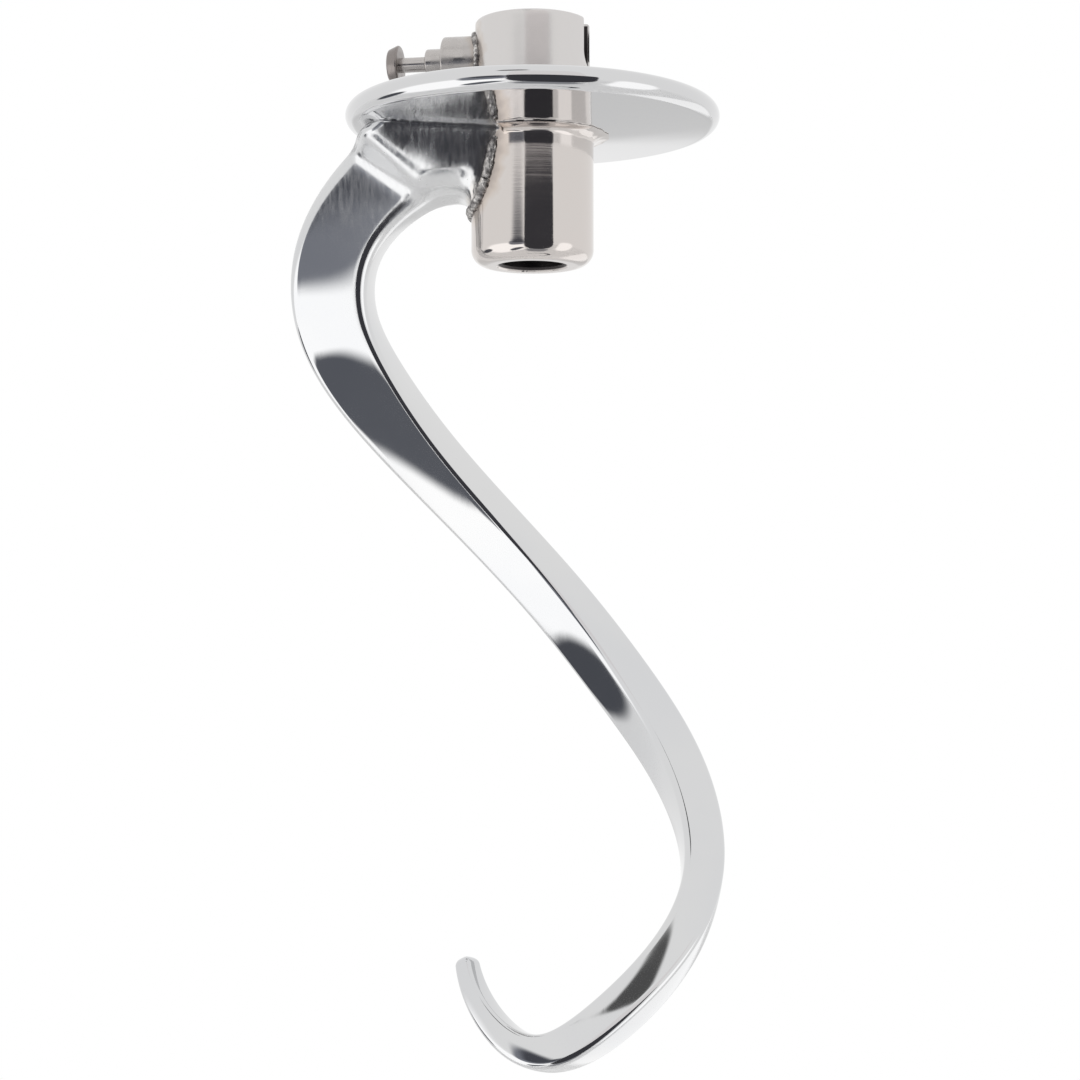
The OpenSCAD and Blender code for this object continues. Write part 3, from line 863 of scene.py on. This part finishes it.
def turned_plunger_steel(name, tone, lathe, shade_and_heat):
    """Plain turned steel of the plunger's parts, with marks that run round its axis."""
    material, tree, shader = new_steel(name)
    place = object_place(tree)
    along = add(tree, "ShaderNodeSeparateXYZ", {"Vector": place}).outputs["X"]
    lines = use_group(tree, lathe, {"Along": along, "Lines per mm": 4.0})
    warm = use_group(tree, shade_and_heat, {"Reach mm": 2.0, "Strength": 0.85})
    dull = remap(tree, noise(tree, place, 350.0, 4.0), 0.35, 0.65, 0.16, 0.34)
    # colour darkened beside the boss weld: painted shade where the parts meet, with a faint heat tint
    color = multiply_color(tree, warm["Color"], (*tone, 1))
    tree.links.new(color, shader.inputs["Base Color"])
    tree.links.new(dull, shader.inputs["Roughness"])
    tree.links.new(bumps(tree, [(lines["Height"], 0.000006)]), shader.inputs["Normal"])
    return material


def spring_wire_steel():
    """Drawn wire and a stamped washer: even, slightly dark, with drawing lines."""
    material, tree, shader = new_steel("spring wire steel")
    place = object_place(tree)
    tone = add(tree, "ShaderNodeMix", {"Factor": noise(tree, place, 700.0), "A": (0.42, 0.42, 0.43, 1),
                                       "B": (0.60, 0.59, 0.58, 1)}, data_type="RGBA")
    tree.links.new(tone.outputs["Result"], shader.inputs["Base Color"])
    tree.links.new(remap(tree, noise(tree, place, 1500.0), 0.3, 0.7, 0.2, 0.4), shader.inputs["Roughness"])
    return material


def dress(piece, material):
    """One material on the whole piece."""
    piece.data.materials.clear()
    piece.data.materials.append(material)


# ---------------------------------------------------------------- studio

# Directions are turned with the camera: azimuth 0 is the camera's side, positive to its right.
VIEW_TURN = math.radians(11)
CAMERA_DISTANCE = 0.5
CAMERA_HEIGHT = -0.107
AIM_HEIGHT = -0.0808
AIM_RIGHT = 0.0015
STUDIO_CENTRE = Vector((0, 0, -0.07))
FLOOR_HEIGHT = -2.1
RIGHT = Vector((math.cos(VIEW_TURN), math.sin(VIEW_TURN), 0))
FRONT = Vector((math.sin(VIEW_TURN), -math.cos(VIEW_TURN), 0))


def camera():
    """Camera below the disc, looking slightly up at the hook."""
    data = bpy.data.cameras.new("camera")
    data.lens = 83.9
    data.sensor_width = 36
    cam = bpy.data.objects.new("camera", data)
    bpy.context.scene.collection.objects.link(cam)
    cam.location = RIGHT * AIM_RIGHT + FRONT * CAMERA_DISTANCE + Vector((0, 0, CAMERA_HEIGHT))
    aim = RIGHT * AIM_RIGHT + Vector((0, 0, AIM_HEIGHT))
    cam.rotation_euler = (aim - cam.location).to_track_quat("-Z", "Y").to_euler()
    bpy.context.scene.camera = cam


def studio_card(name, azimuth, elevation, light, tint=(1, 1, 1), radius=2.4, soft=0.25, power=3.0,
                slant=0.0):
    """A card bent round the hook, from the first to the second azimuth and elevation in degrees,
    then slanted. It glows with the given light, or is nearly black, and its edge fades out.
    It shows only in reflections, never straight to the camera."""
    u = np.linspace(-1, 1, 41)
    across, up = np.meshgrid(u, u)
    wide, high = across * (azimuth[1] - azimuth[0]) / 2, up * (elevation[1] - elevation[0]) / 2
    c, k = math.cos(math.radians(slant)), math.sin(math.radians(slant))
    turn = np.radians((azimuth[0] + azimuth[1]) / 2 + wide * c - high * k)
    lift = np.radians((elevation[0] + elevation[1]) / 2 + wide * k + high * c)
    right, front = np.array(RIGHT), np.array(FRONT)
    points = (np.sin(turn)[..., None] * right + np.cos(turn)[..., None] * front) * np.cos(lift)[..., None]
    points[..., 2] += np.sin(lift)
    points = points.reshape(-1, 3) * radius + np.array(STUDIO_CENTRE)
    mesh = bpy.data.meshes.new(name)
    mesh.from_pydata(points.tolist(), [], grid_faces(41, 41, wrap_cols=False))
    edge = (np.abs(across)**power + np.abs(up)**power)**(1 / power)
    mesh.attributes.new("edge", "FLOAT", "POINT").data.foreach_set("value", edge.ravel())
    mesh.shade_smooth()
    card = bpy.data.objects.new(name, mesh)
    bpy.context.scene.collection.objects.link(card)
    material = bpy.data.materials.new(name)
    material.use_nodes = True
    tree = material.node_tree
    tree.nodes.clear()
    rim = add(tree, "ShaderNodeAttribute", attribute_name="edge").outputs["Fac"]
    shown = remap(tree, rim, 1 - soft, 1.0, 1, 0)
    glow = add(tree, "ShaderNodeEmission", {"Color": (*tint, 1), "Strength": light})
    clear = add(tree, "ShaderNodeBsdfTransparent")
    both = add(tree, "ShaderNodeMixShader", {0: shown, 1: clear.outputs[0], 2: glow.outputs[0]})
    add(tree, "ShaderNodeOutputMaterial", {"Surface": both.outputs[0]})
    dress(card, material)
    card.visible_camera = False
    return card


def studio():
    """White surround, bright panels at both sides, and dark cards that draw the steel's bands."""
    world = bpy.data.worlds.new("white surround")
    bpy.context.scene.world = world
    world.use_nodes = True
    world.node_tree.nodes["Background"].inputs["Color"].default_value = (1, 1, 1, 1)
    world.node_tree.nodes["Background"].inputs["Strength"].default_value = 1.0
    studio_card("panel_left", (-104, -8), (-62, 4), 1.45, soft=0.3)
    studio_card("panel_right", (48, 84), (-52, 8), 1.42, soft=0.3)
    studio_card("panel_back_low", (118, 168), (-52, -12), 1.25)
    studio_card("grey_back", (150, 212), (-30, -6), 0.74, soft=0.4)
    studio_card("dim_front_high", (-15, 33), (10, 48), 0.93, (1.0, 0.97, 0.97), 1.95, 0.06, 8)
    studio_card("dark_front", (-16, 40), (-20, 14.6), 0.055, (0.95, 0.95, 1.1), 1.9, 0.05, 14)
    studio_card("dark_front_low", (-17, 41), (-52, 8), 0.055, (0.95, 0.95, 1.1), 1.88, 0.08, 2.4)
    studio_card("grey_front_low", (-22, 46), (-72, -44), 0.33, (0.95, 0.97, 1.03), 1.95, 0.3)
    studio_card("grey_front_left", (-47, -12), (-19, 14), 0.27, (0.9, 0.94, 1.07), 2.0, 0.3)
    studio_card("dark_front_left", (-41, -12), (-4, 14.4), 0.09, (0.9, 0.94, 1.12), 1.95, 0.5)
    studio_card("dark_left_low", (-62, -14), (-53, -36), 0.14, (0.9, 0.95, 1.1), 2.0, 0.35, 2.2, 22)
    studio_card("dark_left", (-118, -86), (-33, -15), 0.10, (0.9, 0.95, 1.1), 2.0, 0.35, 2.2)
    studio_card("dark_top", (-30, -1), (50, 61), 0.10, (1, 1, 1), 2.0, 0.3)


def floor():
    """Pale matt floor well below the hook, fading out into the surround."""
    a = np.linspace(0, 2 * math.pi, 96, endpoint=False)
    r = np.linspace(0.02, 12.0, 24)[:, None]
    points = np.stack([r * np.cos(a), r * np.sin(a), FLOOR_HEIGHT + 0 * r * a], -1).reshape(-1, 3)
    mesh = bpy.data.meshes.new("floor")
    faces = grid_faces(24, 96) + [list(range(96))]
    mesh.from_pydata(points.tolist(), [], faces)
    plane = bpy.data.objects.new("floor", mesh)
    bpy.context.scene.collection.objects.link(plane)
    material = bpy.data.materials.new("pale floor")
    material.use_nodes = True
    tree = material.node_tree
    shader = tree.nodes["Principled BSDF"]
    shader.inputs["Base Color"].default_value = (0.9, 0.9, 0.9, 1)
    shader.inputs["Roughness"].default_value = 0.8
    flat = add(tree, "ShaderNodeVectorMath", {0: object_place(tree), 1: (1, 1, 0)}, operation="MULTIPLY")
    radius = add(tree, "ShaderNodeVectorMath", {0: flat.outputs[0]}, operation="LENGTH").outputs["Value"]
    tree.links.new(remap(tree, radius, 4.0, 11.5, 1, 0), shader.inputs["Alpha"])
    dress(plane, material)


# ---------------------------------------------------------------- scene

camera()
hand_polish = build_hand_polish()
lathe_lines = build_lathe_lines()
weld_shade_and_heat = build_weld_shade_and_heat()

sleeve_steel = turned_sleeve_steel(hand_polish, lathe_lines, weld_shade_and_heat)
plunger_steel = turned_plunger_steel("plunger turned steel", (0.50, 0.475, 0.46), lathe_lines, weld_shade_and_heat)
# the pull head's dark warm tone is painted shade: it stands in for the shadow and dark reflection on the
# knob
head_steel_painted_shade = turned_plunger_steel("pull head steel", (0.27, 0.245, 0.235), lathe_lines, weld_shade_and_heat)
bead_steel = weld_bead_steel("weld bead steel", 0.25, 0.5, (0.20, 0.19, 0.19), (0.62, 0.60, 0.58))
wire_steel = spring_wire_steel()

dress(hook_arm(), polished_arm_steel(hand_polish, weld_shade_and_heat))
dress(guard_disc(), polished_disc_steel(hand_polish, lathe_lines, weld_shade_and_heat))
dress(hub_sleeve(), sleeve_steel)
dress(hub_weld(), sleeve_steel)
dress(collar_weld(), bead_steel)
dress(arm_weld(), bead_steel)
dress(plunger_weld(), bead_steel)
dress(plunger_body(), plunger_steel)
dress(plunger_bushing(), plunger_steel)
dress(plunger_pin(), plunger_steel)
dress(pull_head(), head_steel_painted_shade)
dress(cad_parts["spring_washer"], wire_steel)
dress(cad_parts["plunger_spring"], wire_steel)
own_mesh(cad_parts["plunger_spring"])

studio()
floor()
bpy.context.scene.view_settings.view_transform = "Standard"
